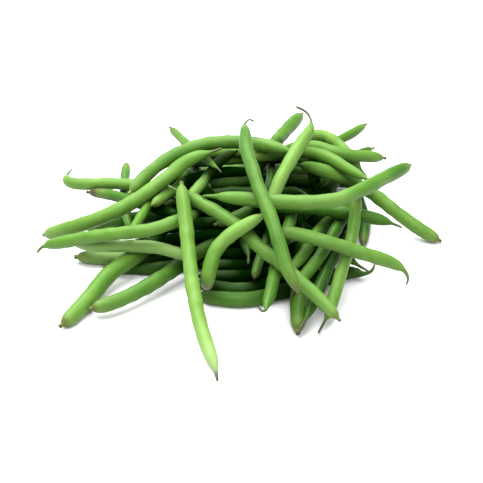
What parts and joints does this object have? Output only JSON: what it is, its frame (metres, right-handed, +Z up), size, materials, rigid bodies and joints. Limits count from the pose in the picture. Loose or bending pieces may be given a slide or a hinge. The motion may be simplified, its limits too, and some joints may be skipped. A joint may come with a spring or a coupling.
{
  "type": "green bean bundle",
  "caption": "Loose bundle of slim raw green beans heaped criss-cross on a flat surface, with short stalk ends, faint seed swellings and thin bent tails.",
  "frame": {"origin": "on the floor, under the middle of the heap's bounding box", "axes": "+Z up, +X along the heap's long direction and to the picture's right, +Y away from the picture's viewer"},
  "size_m": [0.2296, 0.2215, 0.0717],
  "materials": {
    "pod_light": "satin fresh bean skin, light green",
    "pod_mid": "satin fresh bean skin, mid green",
    "pod_deep": "satin fresh bean skin, deep green"
  },
  "bodies": {
    "root": {"bean_back_cross_left": "pod_mid", "bean_back_cross_middle": "pod_deep", "bean_back_cross_right": "pod_mid", "bean_back_floor_far": "pod_mid", "bean_back_floor_left": "pod_deep", "bean_back_floor_long": "pod_mid", "bean_back_floor_right": "pod_mid", "bean_back_left_low": "pod_mid", "bean_back_left_top": "pod_mid", "bean_back_right_brown_end": "pod_mid", "bean_back_right_flat": "pod_mid", "bean_back_right_pale": "pod_light", "bean_back_right_thin": "pod_deep", "bean_back_slope_across": "pod_light", "bean_back_top_left_end": "pod_mid", "bean_back_top_pointed": "pod_mid", "bean_back_under_arch": "pod_light", "bean_far_right": "pod_mid", "bean_front_down_middle": "pod_mid", "bean_front_down_outer": "pod_deep", "bean_front_down_right": "pod_mid", "bean_front_floor": "pod_mid", "bean_front_floor_inner": "pod_deep", "bean_front_long": "pod_light", "bean_front_stub_thin": "pod_mid", "bean_inner_across": "pod_deep", "bean_inner_across_back": "pod_mid", "bean_inner_cross_middle": "pod_deep", "bean_inner_floor_back": "pod_deep", "bean_inner_floor_between": "pod_deep", "bean_inner_floor_front": "pod_deep", "bean_inner_floor_left": "pod_mid", "bean_inner_floor_middle": "pod_deep", "bean_inner_left_arch": "pod_mid", "bean_inner_left_steep": "pod_mid", "bean_inner_middle": "pod_deep", "bean_inner_right_top": "pod_light", "bean_left_floor": "pod_mid", "bean_left_floor_inner": "pod_deep", "bean_left_long": "pod_light", "bean_left_low": "pod_mid", "bean_left_lower_long": "pod_light", "bean_left_point": "pod_light", "bean_left_point_inner": "pod_mid", "bean_left_slant": "pod_light", "bean_left_upright": "pod_mid", "bean_middle_bright_bent": "pod_light", "bean_middle_long_slant": "pod_mid", "bean_right_long_high": "pod_mid", "bean_right_long_low": "pod_mid", "bean_right_long_thin": "pod_mid", "bean_right_low_tail": "pod_light", "bean_right_slant_far": "pod_mid", "bean_right_slant_near": "pod_mid", "bean_right_stub": "pod_deep", "bean_right_upright": "pod_light", "bean_round_end": "pod_deep", "bean_top_arch": "pod_mid", "bean_top_diagonal": "pod_mid", "bean_top_pale_tall": "pod_light"}
  },
  "joints": []
}
